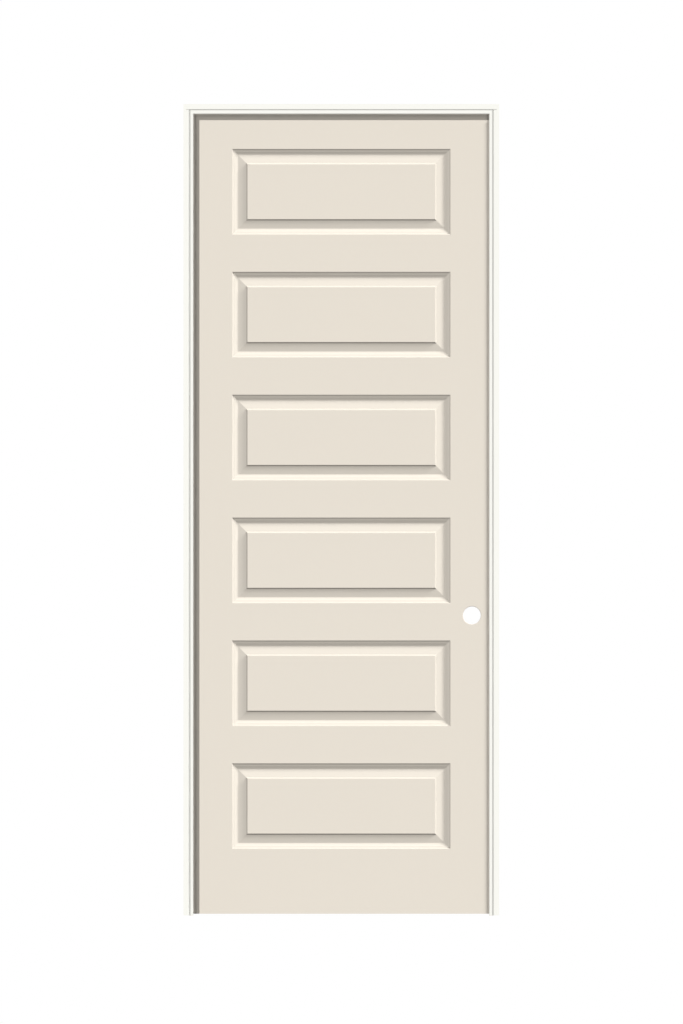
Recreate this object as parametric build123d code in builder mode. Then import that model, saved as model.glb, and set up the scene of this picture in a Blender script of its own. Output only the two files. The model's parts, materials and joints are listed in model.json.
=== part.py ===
"""Left-hand prehung interior door: a hollow-core slab with pressed panel skins on both sides,
hung on butt hinges in a flat wooden jamb frame with applied stops.

The frame stands on the floor at z = 0 with the back of the hinge jamb at x = 0 and the middle
of the jamb depth at y = 0. The push side, where the stops show, faces -Y. The slab is flush
with the pull side, which faces +Y, and opens that way.
"""

import os
from math import cos, radians, sin, tan

from build123d import *

# Slab
slab_width = 914.4
slab_height = 2438.4
slab_thickness = 34.9
skin_thickness = 3.2
lock_bevel_angle = 3.0

# Gaps round the closed slab
edge_gap = 5.0
head_gap = 5.0
stop_gap = 5.0
floor_gap = 5.0

# Jambs and stops
jamb_thickness = 17.5
jamb_depth = 116.0
jamb_edge_radius = 3.0
head_housing = 9.5
stop_thickness = 12.7
stop_width = 63.5
stop_edge_radius = 3.0

# Panel layout on the face of the slab
panel_rows = 6
stile_face = 124.9
top_rail_face = 113.5
bottom_rail_face = 196.5
cross_rail_face = 112.2

# Section of the pressed moulding, from the edge of the panel inward
quirk_width = 4.0
quirk_depth = 2.4
groove_offset = 18.5
groove_depth = 9.0
mould_width = 48.6
step_width = 4.4
step_depth = 4.6
bend_radius = 1.0
groove_radius = 10.0
mould_lap = 3.0

# Wood inside the slab
stile_width = 32.0
top_rail_height = 32.0
bottom_rail_height = 45.0
lock_block_width = 80.0
lock_block_height = 400.0

# Lock preparation
lock_bore_diameter = 54.0
lock_backset = 60.3
lock_height = 907.0
edge_bore_diameter = 22.2
faceplate_width = 25.4
faceplate_height = 57.2
faceplate_recess = 3.2
faceplate_corner = 6.35
strike_height = 57.2
strike_reach = 14.5
strike_recess = 1.6
strike_corner = 6.35
strike_hole_diameter = 25.4

# Butt hinges
hinge_count = 4
hinge_height = 88.9
top_hinge_drop = 178.0
bottom_hinge_rise = 279.0
leaf_seat = 28.6
leaf_thickness = 2.3
leaf_corner_radius = 6.35
leaf_play = 0.3
pin_offset = 15.9
knuckle_count = 5
knuckle_diameter = 11.1
knuckle_play = 0.4
barrel_play = 0.6
pin_diameter = 6.35
pin_play = 0.1
pin_head_diameter = 10.2
pin_head_height = 2.8

# Places that follow from the sizes
slab_left = jamb_thickness + edge_gap
slab_right = slab_left + slab_width
slab_middle = slab_left + slab_width / 2
slab_bottom = floor_gap
slab_top = slab_bottom + slab_height
pull_face = jamb_depth / 2
push_face = pull_face - slab_thickness
core_front = push_face + skin_thickness
core_back = pull_face - skin_thickness
core_thickness = core_back - core_front
latch_jamb_face = slab_right + edge_gap
head_underside = slab_top + head_gap
frame_height = head_underside + jamb_thickness
stop_back = push_face - stop_gap
stop_front = stop_back - stop_width
panel_width = slab_width - 2 * stile_face
panel_stack = slab_height - top_rail_face - bottom_rail_face
panel_pitch = (panel_stack + cross_rail_face) / panel_rows
panel_height = panel_pitch - cross_rail_face
lock_x = slab_right - lock_backset
lock_z = slab_bottom + lock_height
latch_y = pull_face - slab_thickness / 2
pin_x = jamb_thickness + edge_gap / 2
pin_y = pull_face + pin_offset
lowest_hinge = slab_bottom + bottom_hinge_rise + hinge_height / 2
highest_hinge = slab_top - top_hinge_drop - hinge_height / 2
hinge_pitch = (highest_hinge - lowest_hinge) / (hinge_count - 1)
hinge_heights = [lowest_hinge + index * hinge_pitch for index in range(hinge_count)]
knuckle_pitch = (hinge_height + knuckle_play) / knuckle_count
knuckle_length = knuckle_pitch - knuckle_play
pin_radius = pin_diameter / 2
pin_head_radius = pin_head_diameter / 2

# Faces of the slab, with local y up and local z out of the slab
push_plane = Plane(origin=(slab_middle, push_face, slab_bottom), x_dir=(1, 0, 0), z_dir=(0, -1, 0))
pull_plane = Plane(origin=(slab_middle, pull_face, slab_bottom), x_dir=(-1, 0, 0), z_dir=(0, 1, 0))
bevel = radians(lock_bevel_angle)
lock_edge_plane = Plane(origin=(slab_right, pull_face, 0), z_dir=(cos(bevel), -sin(bevel), 0))


def save(part, name):
    """Label a finished piece and write it as its own file."""
    part.label = name
    export_step(part, f"parts/{name}.step")


def seat_plane(face_x, outward, hinge_z):
    """Where a leaf is let in: local x from the pull face inward, local z out of the wood."""
    return Plane(origin=(face_x, pull_face, hinge_z), x_dir=(0, -1, 0), z_dir=(outward, 0, 0))


def leaf_outline(seat, barrel_side, play):
    """Outline of a hinge leaf, or of its mortise where play is given, reaching out barrel_side."""
    with BuildSketch(seat) as outline:
        with Locations((leaf_seat + play, 0)):
            width = leaf_seat + play + barrel_side
            Rectangle(width, hinge_height + 2 * play, align=(Align.MAX, Align.CENTER))
        fillet(outline.vertices().group_by(Axis.X)[-1], leaf_corner_radius + play)
    return outline.sketch


def hinge_leaf(face_x, outward, hinge_z, knuckles, carries_pin):
    """A leaf let into the face at face_x, its knuckles riveted on the pin or bored to turn on it."""
    seat = seat_plane(face_x, outward, hinge_z)
    plate_x = face_x - outward * leaf_thickness / 2
    barrel_edge = knuckle_diameter / 2 + barrel_play
    barrel_bottom = hinge_z - hinge_height / 2
    with BuildPart() as leaf:
        extrude(leaf_outline(seat, pin_offset - barrel_edge, play=0), amount=-leaf_thickness)
        for index in knuckles:
            with BuildSketch(Plane.XY.offset(barrel_bottom + index * knuckle_pitch)):
                with Locations((plate_x, pin_y)):
                    Rectangle(leaf_thickness, barrel_edge, align=(Align.CENTER, Align.MAX))
                with Locations((pin_x, pin_y)):
                    Circle(knuckle_diameter / 2)
            extrude(amount=knuckle_length)
        with BuildSketch(Plane.XY.offset(barrel_bottom)):
            with Locations((pin_x, pin_y)):
                Circle(pin_radius if carries_pin else pin_radius + pin_play)
        extrude(amount=hinge_height, mode=Mode.ADD if carries_pin else Mode.SUBTRACT)
        if carries_pin:
            with BuildSketch(Plane.XY.offset(barrel_bottom + hinge_height)):
                with Locations((pin_x, pin_y)):
                    Circle(pin_head_radius)
            extrude(amount=pin_head_height)
    return leaf.part


def pressed_skin(face, mortises):
    """One face of the slab: a sheet with a pressed panel in each row, cut for lock and hinges."""
    first_panel = bottom_rail_face + panel_height / 2
    panel_spots = [(0, first_panel + row * panel_pitch) for row in range(panel_rows)]
    with BuildPart(face) as skin:
        with BuildSketch(face):
            Rectangle(slab_width, slab_height, align=(Align.CENTER, Align.MIN))
            with Locations(*panel_spots):
                Rectangle(panel_width + 2 * mould_lap, panel_height + 2 * mould_lap, mode=Mode.SUBTRACT)
        extrude(amount=-skin_thickness)
        with Locations(*panel_spots):
            add(panel.part)
        extrude(lock_bore.sketch, amount=-slab_thickness, mode=Mode.SUBTRACT)
        for mortise in mortises:
            extrude(mortise, amount=-leaf_thickness, mode=Mode.SUBTRACT)
        split(bisect_by=lock_edge_plane, keep=Keep.BOTTOM)
    return skin.part


os.makedirs("parts", exist_ok=True)

# Mortises for the hinge leaves, shared by the jamb, the slab's stile and its pull-side skin
jamb_seats = [seat_plane(jamb_thickness, 1, hinge_z) for hinge_z in hinge_heights]
slab_seats = [seat_plane(slab_left, -1, hinge_z) for hinge_z in hinge_heights]
jamb_mortises = [leaf_outline(seat, pin_offset, leaf_play) for seat in jamb_seats]
slab_mortises = [leaf_outline(seat, pin_offset, leaf_play) for seat in slab_seats]

# Cross bore for the lock and edge bore for the latch, shared by all that they pass through
with BuildSketch(push_plane) as lock_bore:
    with Locations((lock_x - slab_middle, lock_height)):
        Circle(lock_bore_diameter / 2)
edge_plane = Plane(origin=(slab_right, latch_y, lock_z), x_dir=(0, 1, 0), z_dir=(1, 0, 0))
with BuildSketch(edge_plane) as edge_bore:
    Circle(edge_bore_diameter / 2)

# Hinge jamb: housed for the head at its top, mortised for the leaves
with BuildPart() as hinge_jamb:
    with BuildSketch():
        Rectangle(jamb_thickness, jamb_depth, align=(Align.MIN, Align.CENTER))
    extrude(amount=frame_height)
    fillet(hinge_jamb.edges().filter_by(Axis.Z).group_by(Axis.X)[-1], jamb_edge_radius)
    with BuildSketch(Plane.XY.offset(head_underside)):
        with Locations((jamb_thickness, 0)):
            Rectangle(head_housing, jamb_depth, align=(Align.MAX, Align.CENTER))
    extrude(amount=jamb_thickness, mode=Mode.SUBTRACT)
    for mortise in jamb_mortises:
        extrude(mortise, amount=-leaf_thickness, mode=Mode.SUBTRACT)
save(hinge_jamb.part, "hinge_jamb")

# Latch jamb: the same section, with the strike mortise and the latch hole
strike_plane = Plane(origin=(latch_jamb_face, latch_y, lock_z), x_dir=(0, 1, 0), z_dir=(-1, 0, 0))
with BuildPart() as latch_jamb:
    with BuildSketch():
        with Locations((latch_jamb_face, 0)):
            Rectangle(jamb_thickness, jamb_depth, align=(Align.MIN, Align.CENTER))
    extrude(amount=frame_height)
    fillet(latch_jamb.edges().filter_by(Axis.Z).group_by(Axis.X)[0], jamb_edge_radius)
    with BuildSketch(Plane.XY.offset(head_underside)):
        with Locations((latch_jamb_face, 0)):
            Rectangle(head_housing, jamb_depth, align=(Align.MIN, Align.CENTER))
    extrude(amount=jamb_thickness, mode=Mode.SUBTRACT)
    with BuildSketch(strike_plane) as strike:
        with Locations((-strike_reach, 0)):
            Rectangle(strike_reach + slab_thickness, strike_height, align=(Align.MIN, Align.CENTER))
        fillet(strike.vertices().group_by(Axis.X)[0], strike_corner)
    extrude(amount=-strike_recess, mode=Mode.SUBTRACT)
    with BuildSketch(strike_plane):
        Circle(strike_hole_diameter / 2)
    extrude(amount=-jamb_thickness, mode=Mode.SUBTRACT)
save(latch_jamb.part, "latch_jamb")

# Head jamb: its ends run into the housings of the side jambs
head_start = jamb_thickness - head_housing
head_end = latch_jamb_face + head_housing
with BuildPart() as head_jamb:
    with BuildSketch(Plane.YZ.offset(head_start)):
        with Locations((0, head_underside)):
            Rectangle(jamb_depth, jamb_thickness, align=(Align.CENTER, Align.MIN))
    extrude(amount=head_end - head_start)
    fillet(head_jamb.edges().filter_by(Axis.X).group_by(Axis.Z)[0], jamb_edge_radius)
save(head_jamb.part, "head_jamb")

# Stops: flat strips with eased edges, mitred at the head
left_mitre = Plane(origin=(jamb_thickness, 0, head_underside), z_dir=(1, 0, 1))
right_mitre = Plane(origin=(latch_jamb_face, 0, head_underside), z_dir=(-1, 0, 1))
stop_middle = (stop_front + stop_back) / 2
with BuildPart() as hinge_stop:
    with BuildSketch():
        with Locations((jamb_thickness, stop_middle)):
            Rectangle(stop_thickness, stop_width, align=(Align.MIN, Align.CENTER))
    extrude(amount=head_underside)
    fillet(hinge_stop.edges().filter_by(Axis.Z).group_by(Axis.X)[-1], stop_edge_radius)
    split(bisect_by=left_mitre, keep=Keep.BOTTOM)
save(hinge_stop.part, "hinge_stop")

with BuildPart() as latch_stop:
    with BuildSketch():
        with Locations((latch_jamb_face, stop_middle)):
            Rectangle(stop_thickness, stop_width, align=(Align.MAX, Align.CENTER))
    extrude(amount=head_underside)
    fillet(latch_stop.edges().filter_by(Axis.Z).group_by(Axis.X)[0], stop_edge_radius)
    split(bisect_by=right_mitre, keep=Keep.BOTTOM)
save(latch_stop.part, "latch_stop")

with BuildPart() as head_stop:
    with BuildSketch(Plane.YZ.offset(jamb_thickness)):
        with Locations((stop_middle, head_underside)):
            Rectangle(stop_width, stop_thickness, align=(Align.CENTER, Align.MAX))
    extrude(amount=latch_jamb_face - jamb_thickness)
    fillet(head_stop.edges().filter_by(Axis.X).group_by(Axis.Z)[0], stop_edge_radius)
    split(bisect_by=left_mitre, keep=Keep.TOP)
    split(bisect_by=right_mitre, keep=Keep.TOP)
save(head_stop.part, "head_stop")

# One pressed panel, face up: the moulding runs round a flat raised field
edge_x = panel_width / 2
groove = (edge_x - groove_offset, -groove_depth)
moulding = [
    (edge_x + mould_lap, 0),
    (edge_x, 0),
    (edge_x - quirk_width, -quirk_depth),
    groove,
    (edge_x - mould_width + step_width, -step_depth),
    (edge_x - mould_width, 0),
    (edge_x - mould_width - mould_lap, 0),
]
moulding_back = [(x, y - skin_thickness) for x, y in reversed(moulding)]
with BuildPart() as panel:
    with BuildLine() as panel_edge:
        right, top = edge_x, panel_height / 2
        Polyline((right, 0), (right, top), (-right, top), (-right, -top), (right, -top), close=True)
    with BuildSketch(Plane.XZ) as section:
        with BuildLine():
            Polyline(*moulding, *moulding_back, close=True)
        make_face()
        fillet(section.vertices().sort_by_distance(groove)[0], groove_radius)
        fillet(section.vertices().group_by(Axis.Y)[-1].sort_by(Axis.X)[1:-1], bend_radius)
    sweep(section.sketch, path=panel_edge.wire(), transition=Transition.RIGHT)
    with BuildSketch():
        field_inset = 2 * (mould_width + mould_lap)
        Rectangle(panel_width - field_inset, panel_height - field_inset)
    extrude(amount=-skin_thickness)

# Skins: a thin sheet with a panel pressed in each row, bored for the lock
save(pressed_skin(push_plane, []), "push_skin")
save(pressed_skin(pull_plane, slab_mortises), "pull_skin")

# Hinge stile, mortised for the leaves
with BuildPart() as hinge_stile:
    with BuildSketch(Plane.XY.offset(slab_bottom)):
        with Locations((slab_left, core_front)):
            Rectangle(stile_width, core_thickness, align=(Align.MIN, Align.MIN))
    extrude(amount=slab_height)
    for mortise in slab_mortises:
        extrude(mortise, amount=-leaf_thickness, mode=Mode.SUBTRACT)
save(hinge_stile.part, "hinge_stile")

# Lock stile, bevelled on its edge, with the faceplate mortise and the edge bore
lock_stile_x = slab_right - stile_width
with BuildPart() as lock_stile:
    with BuildSketch(Plane.XY.offset(slab_bottom)):
        with Locations((lock_stile_x, core_front)):
            Rectangle(stile_width, core_thickness, align=(Align.MIN, Align.MIN))
    extrude(amount=slab_height)
    split(bisect_by=lock_edge_plane, keep=Keep.BOTTOM)
    bevel_at_latch = (pull_face - latch_y) * tan(bevel)
    faceplate_plane = Plane(
        origin=(slab_right - bevel_at_latch, latch_y, lock_z), x_dir=(sin(bevel), cos(bevel), 0),
        z_dir=lock_edge_plane.z_dir)
    with BuildSketch(faceplate_plane):
        RectangleRounded(faceplate_width, faceplate_height, faceplate_corner)
    extrude(amount=-faceplate_recess, mode=Mode.SUBTRACT)
    extrude(edge_bore.sketch, amount=-lock_backset, mode=Mode.SUBTRACT)
save(lock_stile.part, "lock_stile")

# Rails between the stiles
rail_start = slab_left + stile_width
rail_length = lock_stile_x - rail_start
with BuildPart() as top_rail:
    with BuildSketch(Plane.XY.offset(slab_top - top_rail_height)):
        with Locations((rail_start, core_front)):
            Rectangle(rail_length, core_thickness, align=(Align.MIN, Align.MIN))
    extrude(amount=top_rail_height)
save(top_rail.part, "top_rail")

with BuildPart() as bottom_rail:
    with BuildSketch(Plane.XY.offset(slab_bottom)):
        with Locations((rail_start, core_front)):
            Rectangle(rail_length, core_thickness, align=(Align.MIN, Align.MIN))
    extrude(amount=bottom_rail_height)
save(bottom_rail.part, "bottom_rail")

# Lock block behind the bore, glued to the lock stile
with BuildPart() as lock_block:
    with BuildSketch(Plane.XY.offset(lock_z - lock_block_height / 2)):
        with Locations((lock_stile_x, core_front)):
            Rectangle(lock_block_width, core_thickness, align=(Align.MAX, Align.MIN))
    extrude(amount=lock_block_height)
    extrude(lock_bore.sketch, amount=-slab_thickness, mode=Mode.SUBTRACT)
    extrude(edge_bore.sketch, amount=-lock_backset, mode=Mode.SUBTRACT)
save(lock_block.part, "lock_block")

# Hinges, numbered from the bottom: the jamb leaf has the outer knuckles and holds the pin
jamb_knuckles = range(0, knuckle_count, 2)
door_knuckles = range(1, knuckle_count, 2)
for number, hinge_z in enumerate(hinge_heights, start=1):
    jamb_leaf = hinge_leaf(jamb_thickness, 1, hinge_z, jamb_knuckles, carries_pin=True)
    save(jamb_leaf, f"jamb_leaf_{number}")
    door_leaf = hinge_leaf(slab_left, -1, hinge_z, door_knuckles, carries_pin=False)
    save(door_leaf, f"door_leaf_{number}")
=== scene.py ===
"""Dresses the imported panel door: finely pressed skins, hinge screws, pin tips and finishes.

Everything is in metres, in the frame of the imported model: +X from the hinge jamb to the latch jamb,
+Y to the pull side, +Z up.
"""

import json
from math import cos, pi, radians, sin, tan

import bpy
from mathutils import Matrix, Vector
from mathutils.geometry import tessellate_polygon

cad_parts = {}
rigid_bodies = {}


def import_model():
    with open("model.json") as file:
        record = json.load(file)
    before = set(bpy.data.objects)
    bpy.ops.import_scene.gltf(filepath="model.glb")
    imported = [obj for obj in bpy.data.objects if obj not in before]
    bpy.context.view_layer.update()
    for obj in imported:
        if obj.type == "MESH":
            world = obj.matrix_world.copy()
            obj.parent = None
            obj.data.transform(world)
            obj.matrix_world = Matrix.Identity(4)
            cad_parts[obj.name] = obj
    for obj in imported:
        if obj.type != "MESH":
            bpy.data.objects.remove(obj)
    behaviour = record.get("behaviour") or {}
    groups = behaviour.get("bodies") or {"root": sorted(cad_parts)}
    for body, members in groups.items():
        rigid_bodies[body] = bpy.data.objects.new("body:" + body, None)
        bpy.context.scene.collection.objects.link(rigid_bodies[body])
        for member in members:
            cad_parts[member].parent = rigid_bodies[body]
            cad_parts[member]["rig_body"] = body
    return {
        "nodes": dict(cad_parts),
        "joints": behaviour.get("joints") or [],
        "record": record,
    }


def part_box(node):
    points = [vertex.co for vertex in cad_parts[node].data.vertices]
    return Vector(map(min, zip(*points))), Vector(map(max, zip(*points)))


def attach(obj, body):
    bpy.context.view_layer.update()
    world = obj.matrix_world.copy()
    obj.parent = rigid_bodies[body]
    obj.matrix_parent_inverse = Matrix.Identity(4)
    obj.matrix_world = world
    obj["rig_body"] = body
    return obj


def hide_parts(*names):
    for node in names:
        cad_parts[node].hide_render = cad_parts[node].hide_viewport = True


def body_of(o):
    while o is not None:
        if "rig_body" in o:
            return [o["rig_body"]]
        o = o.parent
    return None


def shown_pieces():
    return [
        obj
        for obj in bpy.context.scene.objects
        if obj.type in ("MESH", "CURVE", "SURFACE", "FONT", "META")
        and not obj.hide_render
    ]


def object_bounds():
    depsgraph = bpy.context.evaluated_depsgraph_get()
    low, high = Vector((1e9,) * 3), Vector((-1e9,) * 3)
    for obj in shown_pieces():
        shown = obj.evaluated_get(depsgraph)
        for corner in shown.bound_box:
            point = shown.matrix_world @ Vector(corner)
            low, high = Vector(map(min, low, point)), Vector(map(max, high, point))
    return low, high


MM = 0.001

# Panel layout on the face of the slab
PANEL_ROWS = 6
STILE_FACE = 124.9 * MM
TOP_RAIL_FACE = 113.5 * MM
BOTTOM_RAIL_FACE = 196.5 * MM
CROSS_RAIL_FACE = 112.2 * MM

# Section of the pressed moulding: distance in from the panel's edge, depth, radius of the bend
MOULDING = [
    (0.0 * MM, 0.0 * MM, 0.0 * MM),
    (0.7 * MM, 0.0 * MM, 0.7 * MM),
    (3.2 * MM, 3.0 * MM, 2.5 * MM),
    (6.4 * MM, 4.5 * MM, 1.5 * MM),
    (9.0 * MM, 5.2 * MM, 1.5 * MM),
    (13.4 * MM, 7.7 * MM, 6.0 * MM),
    (18.0 * MM, 9.9 * MM, 6.0 * MM),
    (43.2 * MM, 5.2 * MM, 1.0 * MM),
    (47.2 * MM, 0.0 * MM, 1.0 * MM),
    (51.0 * MM, 0.0 * MM, 0.0 * MM),
]
BEND_STEPS = 6
SKIN_THICKNESS = 3.2 * MM
LOCK_BEVEL = radians(3.0)

# Bore through the slab
BORE_SEGMENTS = 96
BORE_RIM = 1.5 * MM
RIM_STEPS = 4

# Hinges
HINGE_COUNT = 4
MORTISE_DEPTH = 2.3 * MM
MORTISE_PLAY = 0.3 * MM
SCREW_SPACING = 30.0 * MM
SCREW_STAGGER = 4.5 * MM
SCREW_INSET = 16.5 * MM
PIN_TIP_RADIUS = 4.2 * MM
PIN_TIP_RISE = 2.2 * MM
PIN_CAP_RADIUS = 5.1 * MM
PIN_CAP_RISE = 1.6 * MM
DOME_STEPS = 8
ROUND_SEGMENTS = 40

# Oval screw head: radius and height, from the rim in
SCREW_HEAD = [
    (4.60 * MM, 0.00 * MM),
    (4.45 * MM, 0.20 * MM),
    (4.10 * MM, 0.38 * MM),
    (3.60 * MM, 0.54 * MM),
    (3.00 * MM, 0.64 * MM),
]

# Cross recess of a screw: reach, half width and height, at its mouth and at its floor
SCREW_CROSS = [
    (2.55 * MM, 0.62 * MM, 0.64 * MM),
    (2.10 * MM, 0.36 * MM, 0.12 * MM),
]

# Meshes: material slots of a skin, and how strongly large faces set the shading of their edges
PAINT_SLOT = 0
FIBRE_SLOT = 1
FLAT_WEIGHT = 100

# Camera
VIEW_CENTRE = Vector((0.4803, 0.0, 1.226))
VIEW_DISTANCE = 6.0
VIEW_HEIGHT = 3.112

# Lamps: where each comes from, and its share of full light on a face turned FRONT, BACK, RIGHT or UP
FRONT = Vector((0.0, -1.0, 0.0))
BACK = Vector((0.0, 1.0, 0.0))
RIGHT = Vector((1.0, 0.0, 0.0))
UP = Vector((0.0, 0.0, 1.0))
DOOR_KEY_FROM = Vector((-0.277, -1.0, 0.285))
DOOR_KEY_SHARE = 0.60
DOOR_FILL_FROM = Vector((2.7, -1.0, 2.2))
DOOR_FILL_SHARE = 0.34
FRAME_KEYS_FROM = {
    "frame_key_left": Vector((-0.4, -1.0, 0.1)),
    "frame_key_right": Vector((0.4, -1.0, 0.1)),
}
FRAME_KEY_SHARE = 0.38
FRAME_FILLS_FROM = {
    "frame_fill_left": Vector((-2.2, -1.0, 0.3)),
    "frame_fill_right": Vector((2.2, -1.0, 0.3)),
}
FRAME_FILL_SHARE = 0.095
BACK_KEY_FROM = Vector((0.3, 1.0, 0.35))
BACK_KEY_SHARE = 0.60
BACK_FILL_FROM = Vector((-1.7, 1.0, 2.0))
BACK_FILL_SHARE = 0.30
SIDE_FROM = Vector((1.0, 0.1, 0.03))
SIDE_SHARE = 0.58
OVERHEAD_FROM = Vector((-0.25, -0.4, 1.0))
OVERHEAD_SHARE = 0.40
FLOOR_FILL_SHARE = 0.57
AMBIENT = 0.033
LAMP_DISTANCE = 4.0

# Widths of the lamps, in degrees
CRISP = 0.8
SOFT = 15.0
VERY_SOFT = 30.0

# Floor
FLOOR_SIZE = 80.0
FLOOR_COLOUR = (0.94, 0.94, 0.94, 1.0)
FLOOR_BOUNCE = (0.03, 0.03, 0.03, 1.0)
FLOOR_DROP = 0.2 * MM

# Flags that shade the slab: rise off its face, start from a side stop, drop from the top, and size
LATCH_FLAG_RISE = 4.4 * MM
LATCH_FLAG_DROP = 27.0 * MM
CORNER_FLAG_RISE = 3.0 * MM
CORNER_FLAG_START = 1.1 * MM
CORNER_FLAG_WIDTH = 3.6 * MM
CORNER_FLAG_DROP = 1.0 * MM
HINGE_FLAG_RISE = 3.0 * MM
HINGE_FLAG_START = 13.1 * MM
HINGE_FLAG_WIDTH = 2.6 * MM
HEAD_FLAG_RISE = 2.0 * MM
HEAD_FLAG_DROP = 1.2 * MM
HEAD_FLAG_HEIGHT = 1.6 * MM
KEY_FLAG_RISE = 400.0 * MM
KEY_FLAG_START = -4.5 * MM
KEY_FLAG_WIDTH = 1.4 * MM

# Colours, linear
CREAM = (0.800, 0.738, 0.644)
WHITE_PRIMER = (0.950, 0.945, 0.885)
PINE_LIGHT = (0.700, 0.500, 0.290)
PINE_DARK = (0.470, 0.290, 0.135)
FIBREBOARD = (0.270, 0.170, 0.095)
NICKEL = (0.560, 0.535, 0.500)

# Squeeze of a noise, which draws it out into grain or brush lines
NO_GRAIN = (1.0, 1.0, 1.0)
GRAIN_UP = (1.0, 1.0, 0.04)
GRAIN_ACROSS = (0.04, 1.0, 1.0)
BRUSHED_UP = (1.0, 1.0, 0.02)

# Primer: noises in cycles a metre, then tones, depths and roughness
PRIMER_CLOUDS = 5.0
PRIMER_STREAKS = 60.0
PRIMER_PEEL = 700.0
PRIMER_STREAK_SHARE = 0.4
PRIMER_TONE_TOP = 0.72
PRIMER_TONES = (0.985, 1.015)
PRIMER_STREAK_DEPTH = 0.03 * MM
PRIMER_PEEL_DEPTH = 0.008 * MM
PRIMER_ROUGHNESS = (0.50, 0.62)
PRIMER_SPECULAR = 0.25

# Paint on the jambs: the coat's depth, and how far it laps on to bare wood at least and at most
PAINT_DEPTH = 0.4 * MM
PAINT_LAP = (0.5 * MM, 4.0 * MM)
PAINT_LAP_NOISE = 120.0

# Pine: noises in cycles a metre, then tones, depth and roughness
PINE_WAVER = 14.0
PINE_RINGS = 95.0
PINE_RING_DISTORTION = 1.2
PINE_PORES = 600.0
PINE_CONTRAST = (0.12, 0.42)
PINE_PORE_SHARE = (0.0, 0.35)
PINE_PORE_TONE = 1.05
PINE_DEPTH = 0.06 * MM
PINE_ROUGHNESS = (0.78, 0.62)
PINE_SPECULAR = 0.25

# Fibreboard: noise in cycles a metre, then tones, depth and roughness
FIBRE_NOISE = 420.0
FIBRE_TONES = (0.78, 1.22)
FIBRE_DEPTH = 0.08 * MM
FIBRE_ROUGHNESS = (0.92, 0.78)
FIBRE_SPECULAR = 0.2

# Nickel: noises in cycles a metre, then tones, depth and roughness
BRUSH_LINES = 2600.0
HANDLING_MARKS = 70.0
NICKEL_TONES = (0.9, 1.08)
BRUSH_DEPTH = 0.004 * MM
BRUSH_ROUGHNESS = (0.8, 1.2)
NICKEL_ROUGHNESS = (0.30, 0.42)


def tones(colour, factors):
    """Tones of a colour, one for each factor, with full alpha."""
    return [(*(channel * factor for channel in colour), 1.0) for factor in factors]


def wire(tree, node, **inputs):
    """Sets a node's inputs by name, or by number as _0, each to a value or another node's output."""
    for key, value in inputs.items():
        if key[1:].isdigit():
            socket = node.inputs[int(key[1:])]
        else:
            socket = node.inputs[key.replace("_", " ")]
        if isinstance(value, bpy.types.NodeSocket):
            tree.links.new(value, socket)
        else:
            socket.default_value = value


def add_node(tree, kind, settings=None, **inputs):
    """A shader node with its settings and its inputs."""
    made = tree.nodes.new(kind)
    for key, value in (settings or {}).items():
        setattr(made, key, value)
    wire(tree, made, **inputs)
    return made


def new_material(name):
    """A node material, its node tree and its Principled shader."""
    material = bpy.data.materials.new(name)
    material.use_nodes = True
    return material, material.node_tree, material.node_tree.nodes["Principled BSDF"]


def place(tree, squeeze=NO_GRAIN):
    """The point on the object in its own space, squeezed along the grain."""
    point = add_node(tree, "ShaderNodeTexCoord").outputs["Object"]
    return add_node(tree, "ShaderNodeMapping", Vector=point, Scale=squeeze).outputs[0]


def noise(tree, point, scale, detail=2.0, distortion=0.0):
    """A grey noise of that many cycles a metre."""
    made = add_node(
        tree, "ShaderNodeTexNoise", Vector=point, Scale=scale, Detail=detail, Distortion=distortion)
    return made.outputs[0]


def spread(tree, value, low, high, start=0.0, end=1.0):
    """A value between start and end taken to the range from low to high."""
    made = add_node(
        tree, "ShaderNodeMapRange", Value=value, From_Min=start, From_Max=end, To_Min=low, To_Max=high)
    return made.outputs[0]


def mixed(tree, share, first, second):
    """Two colours mixed by a share."""
    made = add_node(tree, "ShaderNodeMix", {"data_type": "RGBA"}, _0=share, _6=first, _7=second)
    return made.outputs[2]


def bump(tree, height, depth, under=None):
    """A bump of that depth in metres, on top of another where one is under it."""
    made = add_node(tree, "ShaderNodeBump", Height=height, Strength=1.0, Distance=depth)
    if under is not None:
        wire(tree, made, Normal=under)
    return made.outputs[0]


def math_node(tree, operation, *values):
    """The result of one sum on its values."""
    numbered = {f"_{index}": value for index, value in enumerate(values)}
    return add_node(tree, "ShaderNodeMath", {"operation": operation}, **numbered).outputs[0]


def primer(name, colour, grain):
    """Sprayed primer: faint clouds of tone, fine orange peel and soft streaks along the grain."""
    material, tree, shader = new_material(name)
    point = place(tree)
    clouds = noise(tree, point, PRIMER_CLOUDS, detail=3.0)
    streaks = noise(tree, place(tree, grain), PRIMER_STREAKS)
    tone = math_node(tree, "MULTIPLY_ADD", streaks, PRIMER_STREAK_SHARE, clouds)
    share = spread(tree, tone, 0.0, PRIMER_TONE_TOP)
    peel = bump(tree, noise(tree, point, PRIMER_PEEL), PRIMER_PEEL_DEPTH)
    wire(
        tree, shader,
        Base_Color=mixed(tree, share, *tones(colour, PRIMER_TONES)),
        Normal=bump(tree, streaks, PRIMER_STREAK_DEPTH, peel),
        Roughness=spread(tree, clouds, *PRIMER_ROUGHNESS),
        Specular_IOR_Level=PRIMER_SPECULAR)
    return material, tree, shader


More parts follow.
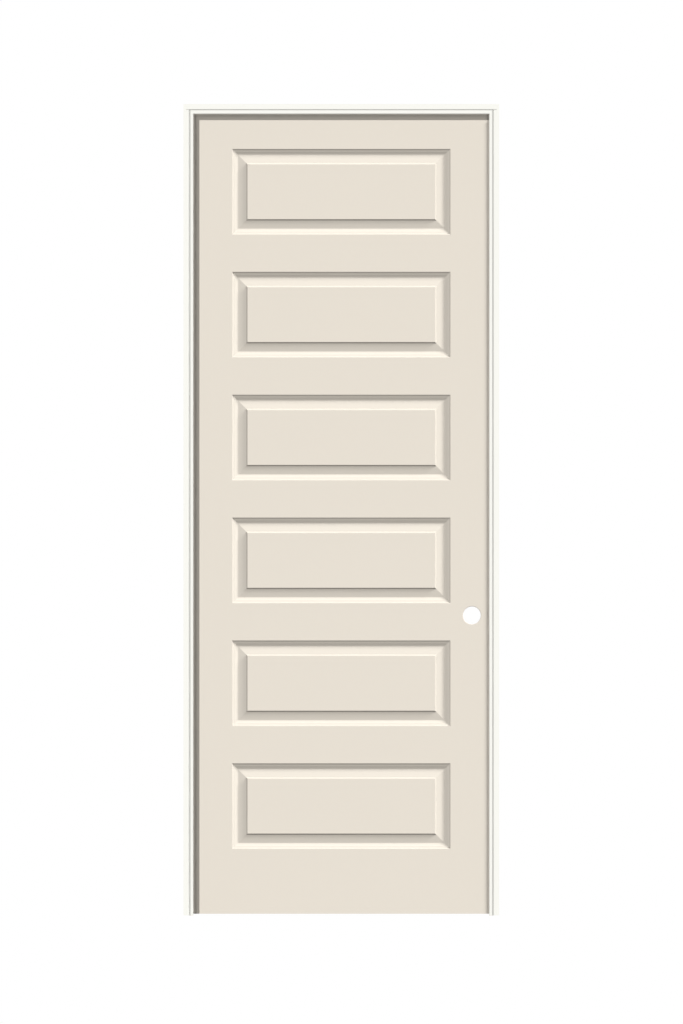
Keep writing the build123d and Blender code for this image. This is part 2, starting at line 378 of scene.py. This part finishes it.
def pine_colour(tree, grain):
    """Colour of sawn pine, with rings drawn out along the grain and fine pores, and its rings alone."""
    point = place(tree, grain)
    waver = noise(tree, point, PINE_WAVER, detail=3.0)
    rings = noise(tree, point, PINE_RINGS, detail=3.0, distortion=PINE_RING_DISTORTION)
    contrast = spread(tree, math_node(tree, "MULTIPLY", rings, waver), 0.0, 1.0, *PINE_CONTRAST)
    base = mixed(tree, contrast, (*PINE_DARK, 1.0), (*PINE_LIGHT, 1.0))
    pores = spread(tree, noise(tree, point, PINE_PORES), *PINE_PORE_SHARE)
    return mixed(tree, pores, base, *tones(PINE_LIGHT, [PINE_PORE_TONE])), rings


def raw_pine(name, grain):
    """Planed pine with open grain."""
    material, tree, shader = new_material(name)
    colour, rings = pine_colour(tree, grain)
    wire(
        tree, shader,
        Base_Color=colour,
        Normal=bump(tree, rings, PINE_DEPTH),
        Roughness=spread(tree, rings, *PINE_ROUGHNESS),
        Specular_IOR_Level=PINE_SPECULAR)
    return material


def primed_jamb(name, grain):
    """White primer over pine, lapping unevenly on to the bare backs, ends and cuts of the jambs."""
    material, tree, shader = primer(name, WHITE_PRIMER, grain)
    paint = shader.inputs["Base Color"].links[0].from_socket
    axes = add_node(tree, "ShaderNodeSeparateXYZ", Vector=place(tree)).outputs
    hinge_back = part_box("hinge_stop")[0].x - PAINT_DEPTH
    latch_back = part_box("latch_stop")[1].x + PAINT_DEPTH
    head_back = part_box("head_stop")[1].z + PAINT_DEPTH
    behind_hinges = math_node(tree, "LESS_THAN", axes["X"], hinge_back)
    behind_latch = math_node(tree, "GREATER_THAN", axes["X"], latch_back)
    above_head = math_node(tree, "GREATER_THAN", axes["Z"], head_back)
    at_foot = math_node(tree, "LESS_THAN", axes["Z"], cad_low.z + PAINT_DEPTH)
    behind = math_node(tree, "MAXIMUM", behind_hinges, behind_latch)
    at_ends = math_node(tree, "MAXIMUM", above_head, at_foot)
    unpainted = math_node(tree, "MAXIMUM", behind, at_ends)
    lap = spread(tree, noise(tree, place(tree, grain), PAINT_LAP_NOISE, detail=3.0), *PAINT_LAP)
    edge = math_node(tree, "SUBTRACT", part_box("hinge_jamb")[1].y, lap)
    off_edge = math_node(tree, "LESS_THAN", math_node(tree, "ABSOLUTE", axes["Y"]), edge)
    bare = math_node(tree, "MULTIPLY", unpainted, off_edge)
    wire(tree, shader, Base_Color=mixed(tree, bare, paint, pine_colour(tree, grain)[0]))
    return material


def fibreboard():
    """Cut edge and back of a pressed fibreboard skin."""
    material, tree, shader = new_material("fibreboard")
    fibres = noise(tree, place(tree), FIBRE_NOISE, detail=4.0)
    wire(
        tree, shader,
        Base_Color=mixed(tree, fibres, *tones(FIBREBOARD, FIBRE_TONES)),
        Normal=bump(tree, fibres, FIBRE_DEPTH),
        Roughness=spread(tree, fibres, *FIBRE_ROUGHNESS),
        Specular_IOR_Level=FIBRE_SPECULAR)
    return material


def satin_nickel():
    """Brushed plating with fine lines along the hinge and faint handling marks."""
    material, tree, shader = new_material("satin_nickel")
    lines = noise(tree, place(tree, BRUSHED_UP), BRUSH_LINES)
    marks = noise(tree, place(tree), HANDLING_MARKS, detail=4.0)
    brushed = spread(tree, lines, *BRUSH_ROUGHNESS)
    handled = spread(tree, marks, *NICKEL_ROUGHNESS)
    wire(
        tree, shader,
        Base_Color=mixed(tree, marks, *tones(NICKEL, NICKEL_TONES)),
        Normal=bump(tree, lines, BRUSH_DEPTH),
        Roughness=math_node(tree, "MULTIPLY", brushed, handled),
        Metallic=1.0)
    return material


def rounded(corners, steps):
    """The line through (offset, depth, radius) corners, with an arc at each corner between its ends."""
    spots = [Vector((offset, depth)) for offset, depth, radius in corners]
    radii = [radius for offset, depth, radius in corners]
    line = [spots[0]]
    for before, corner, after, radius in zip(spots, spots[1:], spots[2:], radii[1:]):
        back = (before - corner).normalized()
        onward = (after - corner).normalized()
        half = back.angle(onward) / 2
        centre = corner + (back + onward).normalized() * (radius / sin(half))
        start = corner + back * (radius / tan(half)) - centre
        end = corner + onward * (radius / tan(half)) - centre
        for step in range(steps + 1):
            line.append(centre + start.lerp(end, step / steps).normalized() * radius)
    line.append(spots[-1])
    return line


def circle(centre, radius, count):
    """Points round a circle."""
    turns = [2 * pi * index / count for index in range(count)]
    return [(centre[0] + radius * cos(turn), centre[1] + radius * sin(turn)) for turn in turns]


def rectangle(centre, half_width, half_height):
    """Corners of an upright rectangle, anticlockwise from the lower left."""
    x, z = centre
    return [
        (x - half_width, z - half_height), (x + half_width, z - half_height),
        (x + half_width, z + half_height), (x - half_width, z + half_height)]


def cross(centre, reach, half_width):
    """Corners of a plus sign, anticlockwise."""
    arm = [(reach, -half_width), (reach, half_width), (half_width, half_width)]
    spots = []
    for turn in range(4):
        spots += arm
        arm = [(-z, x) for x, z in arm]
    return [(centre[0] + x, centre[1] + z) for x, z in spots]


class Builder:
    """Collects the vertices and faces of one mesh, with material slots and sharp edges."""

    def __init__(self, to_world):
        """Starts an empty mesh whose loops are laid out in the world by to_world."""
        self.to_world = to_world
        self.vertices = []
        self.faces = []
        self.slots = []
        self.sharp = set()

    def loop(self, spots, depth):
        """Vertices for a closed line at one depth."""
        first = len(self.vertices)
        self.vertices += [self.to_world(x, depth, z) for x, z in spots]
        return list(range(first, len(self.vertices)))

    def face(self, corners, slot=0):
        """One face in a material slot."""
        self.faces.append(corners)
        self.slots.append(slot)

    def bridge(self, first, second, slot=0, sharp_across=False):
        """Quads between two loops of the same length."""
        for index in range(len(first)):
            after = (index + 1) % len(first)
            self.face((first[index], first[after], second[after], second[index]), slot)
            if sharp_across:
                self.sharp.add(frozenset((first[index], second[index])))

    def bridges(self, loops, slot=0, sharp_across=False):
        """Quads between each loop and the next."""
        for first, second in zip(loops, loops[1:]):
            self.bridge(first, second, slot, sharp_across)

    def fill(self, loops, slot=0):
        """Triangles inside the first loop and outside the others."""
        lines = [[Vector(self.vertices[index]) for index in loop] for loop in loops]
        flat = [index for loop in loops for index in loop]
        for triangle in tessellate_polygon(lines):
            self.face([flat[corner] for corner in triangle], slot)

    def crease(self, loop):
        """Makes a closed line of edges sharp."""
        for index in range(len(loop)):
            self.sharp.add(frozenset((loop[index], loop[(index + 1) % len(loop)])))

    def piece(self, name, materials, body, slot):
        """The finished object, its faces turned outward, riding on a body."""
        mesh = bpy.data.meshes.new(name)
        mesh.from_pydata(self.vertices, [], self.faces)
        mesh.polygons.foreach_set("material_index", self.slots)
        mesh.polygons.foreach_set("use_smooth", [True] * len(self.faces))
        for edge in mesh.edges:
            edge.use_edge_sharp = frozenset(edge.vertices) in self.sharp
        for material in materials:
            mesh.materials.append(material)
        made = bpy.data.objects.new(name, mesh)
        bpy.context.scene.collection.objects.link(made)
        weighted = made.modifiers.new("flat_faces", "WEIGHTED_NORMAL")
        weighted.keep_sharp = True
        weighted.weight = FLAT_WEIGHT
        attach(made, body)
        turn_outward(made)
        return made


def turn_outward(made):
    """Turns all faces of a closed mesh outward."""
    bpy.context.view_layer.objects.active = made
    made.select_set(True)
    bpy.ops.object.mode_set(mode="EDIT")
    bpy.ops.mesh.select_all(action="SELECT")
    bpy.ops.mesh.normals_make_consistent(inside=False)
    bpy.ops.object.mode_set(mode="OBJECT")
    made.select_set(False)


def slab_outline(right, notches):
    """Outline of a skin, anticlockwise, with a notch in its hinge edge for each leaf."""
    left, bottom, top = slab_low.x, slab_low.z, slab_high.z
    inner = left + MORTISE_DEPTH
    spots = [(left, bottom), (right, bottom), (right, top), (left, top)]
    for low, high in sorted(notches, reverse=True):
        spots += [(left, high), (inner, high), (inner, low), (left, low)]
    return spots


def panel_loops(builder, centre, section, sink):
    """Loops round one panel, one for each point of a section, sunk below the face."""
    loops = []
    for offset, depth in section:
        spots = rectangle(centre, panel_width / 2 - offset, panel_height / 2 - offset)
        loops.append(builder.loop(spots, depth + sink))
    return loops


def pressed_skin(name, node, face_y, inward, notches):
    """A closed sheet with pressed panels, an eased lock bore and plain fibreboard edges."""
    builder = Builder(lambda x, depth, z: (x, face_y + inward * depth, z))
    front_right, back_right = [
        slab_high.x - abs(pull_face - face_y - inward * depth) * tan(LOCK_BEVEL)
        for depth in (0.0, SKIN_THICKNESS)]
    edge = builder.loop(slab_outline(front_right, notches), 0.0)
    back_edge = builder.loop(slab_outline(back_right, notches), SKIN_THICKNESS)
    fronts, backs = [edge], [back_edge]
    section = rounded(MOULDING, BEND_STEPS)
    back_section = [(offset, depth) for offset, depth, radius in MOULDING]
    first_z = slab_low.z + BOTTOM_RAIL_FACE + panel_height / 2
    for row in range(PANEL_ROWS):
        centre = (slab_middle, first_z + row * panel_pitch)
        loops = panel_loops(builder, centre, section, 0.0)
        builder.bridges(loops, PAINT_SLOT, sharp_across=True)
        builder.face(loops[-1], PAINT_SLOT)
        fronts.append(loops[0])
        loops = panel_loops(builder, centre, back_section, SKIN_THICKNESS)
        builder.bridges(loops[::-1], FIBRE_SLOT, sharp_across=True)
        builder.face(loops[-1][::-1], FIBRE_SLOT)
        backs.append(loops[0])
    rims = []
    for step in range(RIM_STEPS + 1):
        turn = step / RIM_STEPS * pi / 2
        radius = bore_radius + BORE_RIM * (1 - sin(turn))
        spots = circle(bore_centre, radius, BORE_SEGMENTS)
        rims.append(builder.loop(spots, BORE_RIM * (1 - cos(turn))))
    builder.bridges(rims, PAINT_SLOT)
    back_rim = builder.loop(circle(bore_centre, bore_radius, BORE_SEGMENTS), SKIN_THICKNESS)
    builder.bridge(rims[-1], back_rim, FIBRE_SLOT)
    fronts.append(rims[0])
    backs.append(back_rim)
    builder.bridge(back_edge, edge, FIBRE_SLOT, sharp_across=True)
    builder.fill(fronts, PAINT_SLOT)
    builder.fill(backs, FIBRE_SLOT)
    for loop in (edge, back_edge, back_rim):
        builder.crease(loop)
    made = builder.piece(name, [skin_primer, fibre_edge], "door", "primed_skin")
    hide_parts(node)
    return made


def hinge_middle(node):
    """Height of the middle of a leaf, whose lowest point is the lower end of its plate."""
    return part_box(node)[0].z + hinge_height / 2


def screws(name, body, face_x, outward, leaf_nodes):
    """Three cross-slot screws in each leaf, their oval heads standing on its face."""
    builder = Builder(lambda y, height, z: (face_x + outward * height, y, z))
    for node in leaf_nodes:
        for step in (-1, 0, 1):
            stagger = -SCREW_STAGGER if step == 0 else SCREW_STAGGER
            centre = (pull_face - SCREW_INSET + stagger, hinge_middle(node) + step * SCREW_SPACING)
            rings = [
                builder.loop(circle(centre, radius, ROUND_SEGMENTS), height)
                for radius, height in SCREW_HEAD]
            builder.bridges(rings)
            mouth, cross_floor = [
                builder.loop(cross(centre, reach, half_width), height)
                for reach, half_width, height in SCREW_CROSS]
            builder.fill([rings[-1], mouth])
            builder.bridge(mouth, cross_floor, sharp_across=True)
            builder.face(cross_floor)
            builder.face(rings[0][::-1])
            for loop in (mouth, cross_floor):
                builder.crease(loop)
    builder.piece(name, [hinge_metal], body, "hinge_steel")


def pin_tips():
    """Domed ends of the hinge pins, above the head and below the barrel."""
    builder = Builder(lambda x, height, y: (x, y, height))
    pin = frame["joints"][0]["pos_m"][:2]
    for node in jamb_leaves:
        low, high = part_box(node)
        cap = (high.z, PIN_CAP_RISE, PIN_CAP_RADIUS)
        tip = (low.z, -PIN_TIP_RISE, PIN_TIP_RADIUS)
        for base, rise, radius in (cap, tip):
            rings = []
            for step in range(DOME_STEPS):
                turn = step / DOME_STEPS * pi / 2
                spots = circle(pin, radius * cos(turn), ROUND_SEGMENTS)
                rings.append(builder.loop(spots, base + rise * sin(turn)))
            builder.bridges(rings)
            builder.face(rings[-1])
            builder.face(rings[0][::-1])
    builder.piece("hinge_pin_tips", [hinge_metal], "frame", "hinge_steel")


def dress(nodes, material):
    """Gives CAD nodes a finish."""
    for node in nodes:
        for material_slot in frame["nodes"][node].material_slots:
            material_slot.material = material


def seen_directly(tree):
    """1 for camera, glossy and transmission rays, and 0 for the rays that light a surface."""
    rays = add_node(tree, "ShaderNodeLightPath").outputs
    shiny = math_node(tree, "MAXIMUM", rays["Is Glossy Ray"], rays["Is Transmission Ray"])
    return math_node(tree, "MAXIMUM", rays["Is Camera Ray"], shiny)


def either(tree, unseen, seen):
    """One shader for the rays that light a surface, and another for what is seen directly."""
    share = seen_directly(tree)
    made = add_node(
        tree, "ShaderNodeMixShader", _0=share, _1=unseen.outputs[0], _2=seen.outputs[0])
    return made.outputs[0]


def make_world():
    """White behind the object, and a low even light on it."""
    world = bpy.data.worlds.new("studio")
    bpy.context.scene.world = world
    world.use_nodes = True
    tree = world.node_tree
    tree.nodes.clear()
    low = add_node(tree, "ShaderNodeBackground", Color=(1.0, 1.0, 1.0, 1.0), Strength=AMBIENT)
    white = add_node(tree, "ShaderNodeBackground", Color=(1.0, 1.0, 1.0, 1.0), Strength=1.0)
    add_node(tree, "ShaderNodeOutputWorld", Surface=either(tree, low, white))


def plain_mesh(name, corners, faces):
    """An object of the stage."""
    mesh = bpy.data.meshes.new(name)
    mesh.from_pydata(corners, [], faces)
    made = bpy.data.objects.new(name, mesh)
    bpy.context.scene.collection.objects.link(made)
    return made


def make_floor():
    """A wide pale floor that takes the shadow and throws little light back."""
    half = FLOOR_SIZE / 2
    height = cad_low.z - FLOOR_DROP
    corners = [(x, y, height) for x, y in rectangle((0.0, 0.0), half, half)]
    made = plain_mesh("floor", corners, [(0, 1, 2, 3)])
    material = bpy.data.materials.new("pale_floor")
    material.use_nodes = True
    tree = material.node_tree
    tree.nodes.clear()
    pale = add_node(tree, "ShaderNodeBsdfDiffuse", Color=FLOOR_COLOUR)
    dim = add_node(tree, "ShaderNodeBsdfDiffuse", Color=FLOOR_BOUNCE)
    add_node(tree, "ShaderNodeOutputMaterial", Surface=either(tree, dim, pale))
    made.data.materials.append(material)
    return made


def upright(start, end, low, high):
    """Corners of an upright strip between two points of the plan."""
    return [Vector((*start, low)), Vector((*end, low)), Vector((*end, high)), Vector((*start, high))]


def strip(left, width, rise, low, high):
    """Corners of an upright strip in front of the slab and square to the camera."""
    front = push_face - rise
    return upright((left, front), (left + width, front), low, high)


def make_flags():
    """Narrow strips in front of the slab, unseen, that hold back the door's lamps along the stops."""
    hinge_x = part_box("hinge_stop")[1].x
    latch_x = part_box("latch_stop")[0].x
    low, high = slab_low.z, slab_high.z
    latch_top = high - LATCH_FLAG_DROP
    corner_left = latch_x + CORNER_FLAG_START
    corner_top = high - CORNER_FLAG_DROP
    hinge_left = hinge_x + HINGE_FLAG_START
    head_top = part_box("head_stop")[0].z - HEAD_FLAG_DROP
    head_low = head_top - HEAD_FLAG_HEIGHT
    towards_key = DOOR_KEY_FROM * (KEY_FLAG_RISE / DOOR_KEY_FROM.dot(FRONT))
    on_slab = strip(latch_x + KEY_FLAG_START, KEY_FLAG_WIDTH, 0.0, low, high)
    strips = [
        upright((latch_x, push_face - LATCH_FLAG_RISE), (latch_x, push_face), low, latch_top),
        strip(corner_left, CORNER_FLAG_WIDTH, CORNER_FLAG_RISE, latch_top, corner_top),
        strip(hinge_left, HINGE_FLAG_WIDTH, HINGE_FLAG_RISE, low, high),
        strip(hinge_x, latch_x - hinge_x, HEAD_FLAG_RISE, head_low, head_top),
        [corner + towards_key for corner in on_slab]]
    corners = [corner for one in strips for corner in one]
    faces = [range(first, first + 4) for first in range(0, len(corners), 4)]
    made = plain_mesh("flags", corners, faces)
    made.visible_camera = False
    made.visible_diffuse = False
    made.visible_glossy = False
    made.visible_transmission = False
    return made


def collected(name, members):
    """A collection of objects for a lamp to light or to be shaded by."""
    made = bpy.data.collections.new(name)
    for member in members:
        made.objects.link(member)
    return made


def make_sun(name, source, facing, share, degrees, lit, blockers):
    """A sun on the lit objects, shaded by its blockers, with its share of light on a face so turned."""
    data = bpy.data.lights.new(name, "SUN")
    data.energy = share * pi / source.normalized().dot(facing)
    data.angle = radians(degrees)
    lamp = bpy.data.objects.new(name, data)
    lamp.light_linking.receiver_collection = collected(f"{name}_lit", lit)
    if blockers:
        lamp.light_linking.blocker_collection = collected(f"{name}_blockers", blockers)
    else:
        data.use_shadow = False
    lamp.rotation_euler = source.to_track_quat("Z", "Y").to_euler()
    lamp.location = source * LAMP_DISTANCE
    bpy.context.scene.collection.objects.link(lamp)


def make_camera():
    """A camera square to the push side and without perspective."""
    data = bpy.data.cameras.new("camera")
    data.type = "ORTHO"
    data.ortho_scale = VIEW_HEIGHT
    camera = bpy.data.objects.new("camera", data)
    camera.location = VIEW_CENTRE + FRONT * VIEW_DISTANCE
    camera.rotation_euler = (pi / 2, 0.0, 0.0)
    bpy.context.scene.collection.objects.link(camera)
    bpy.context.scene.camera = camera


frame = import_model()
cad_low, cad_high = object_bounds()

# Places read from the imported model
slab_low, slab_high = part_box("pull_skin")
pull_face = slab_high.y
push_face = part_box("push_skin")[0].y
jamb_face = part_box("hinge_stop")[0].x
slab_middle = (slab_low.x + slab_high.x) / 2
panel_width = slab_high.x - slab_low.x - 2 * STILE_FACE
panel_stack = slab_high.z - slab_low.z - TOP_RAIL_FACE - BOTTOM_RAIL_FACE
panel_pitch = (panel_stack + CROSS_RAIL_FACE) / PANEL_ROWS
panel_height = panel_pitch - CROSS_RAIL_FACE
bore = next(mount for mount in frame["record"]["mounts"] if mount["name"] == "lock_bore")
bore_centre = (bore["pos_m"][0], bore["pos_m"][2])
bore_radius = bore["dims"]["r_mm"] * MM
leaf_low, leaf_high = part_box("door_leaf_1")
hinge_height = leaf_high.z - leaf_low.z
jamb_leaves = [f"jamb_leaf_{number}" for number in range(1, HINGE_COUNT + 1)]
door_leaves = [f"door_leaf_{number}" for number in range(1, HINGE_COUNT + 1)]
leaf_notches = [
    (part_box(node)[0].z - MORTISE_PLAY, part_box(node)[1].z + MORTISE_PLAY) for node in door_leaves]

# Finishes
skin_primer = primer("cream_primer", CREAM, NO_GRAIN)[0]
fibre_edge = fibreboard()
hinge_metal = satin_nickel()
dress(["hinge_jamb", "latch_jamb", "hinge_stop", "latch_stop"], primed_jamb("primed_upright", GRAIN_UP))
dress(["head_jamb", "head_stop"], primed_jamb("primed_head", GRAIN_ACROSS))
dress(["hinge_stile", "lock_stile", "lock_block"], raw_pine("pine_upright", GRAIN_UP))
dress(["top_rail", "bottom_rail"], raw_pine("pine_rail", GRAIN_ACROSS))
dress(jamb_leaves + door_leaves, hinge_metal)

# Pieces
push_pressed = pressed_skin("push_skin_pressed", "push_skin", push_face, 1, [])
pressed_skin("pull_skin_pressed", "pull_skin", pull_face, -1, leaf_notches)
screws("jamb_leaf_screws", "frame", jamb_face, 1, jamb_leaves)
screws("door_leaf_screws", "door", slab_low.x, -1, door_leaves)
pin_tips()

# Stage: each lamp lights one body or the floor, and the pieces throw no diffuse light on each other
make_world()
door_pieces = [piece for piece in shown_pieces() if body_of(piece) == ["door"]]
frame_pieces = [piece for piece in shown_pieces() if body_of(piece) == ["frame"]]
pieces = door_pieces + frame_pieces
for piece in pieces:
    piece.visible_diffuse = False
floor = make_floor()
flags = make_flags()
make_sun("door_key", DOOR_KEY_FROM, FRONT, DOOR_KEY_SHARE, CRISP, door_pieces, [flags, *pieces])
make_sun("door_fill", DOOR_FILL_FROM, FRONT, DOOR_FILL_SHARE, SOFT, door_pieces, [flags, push_pressed])
for name, source in FRAME_KEYS_FROM.items():
    make_sun(name, source, FRONT, FRAME_KEY_SHARE, CRISP, frame_pieces, pieces)
for name, source in FRAME_FILLS_FROM.items():
    make_sun(name, source, FRONT, FRAME_FILL_SHARE, CRISP, frame_pieces, [])
for body, lit in (("door", door_pieces), ("frame", frame_pieces)):
    make_sun(f"{body}_back_key", BACK_KEY_FROM, BACK, BACK_KEY_SHARE, CRISP, lit, pieces)
    make_sun(f"{body}_back_fill", BACK_FILL_FROM, BACK, BACK_FILL_SHARE, SOFT, lit, pieces)
    make_sun(f"{body}_side", SIDE_FROM, RIGHT, SIDE_SHARE, SOFT, lit, pieces)
make_sun("overhead", OVERHEAD_FROM, UP, OVERHEAD_SHARE, VERY_SOFT, [floor], pieces)
make_sun("floor_fill", UP, UP, FLOOR_FILL_SHARE, VERY_SOFT, [floor], [])
make_camera()
bpy.context.scene.view_settings.view_transform = "Standard"
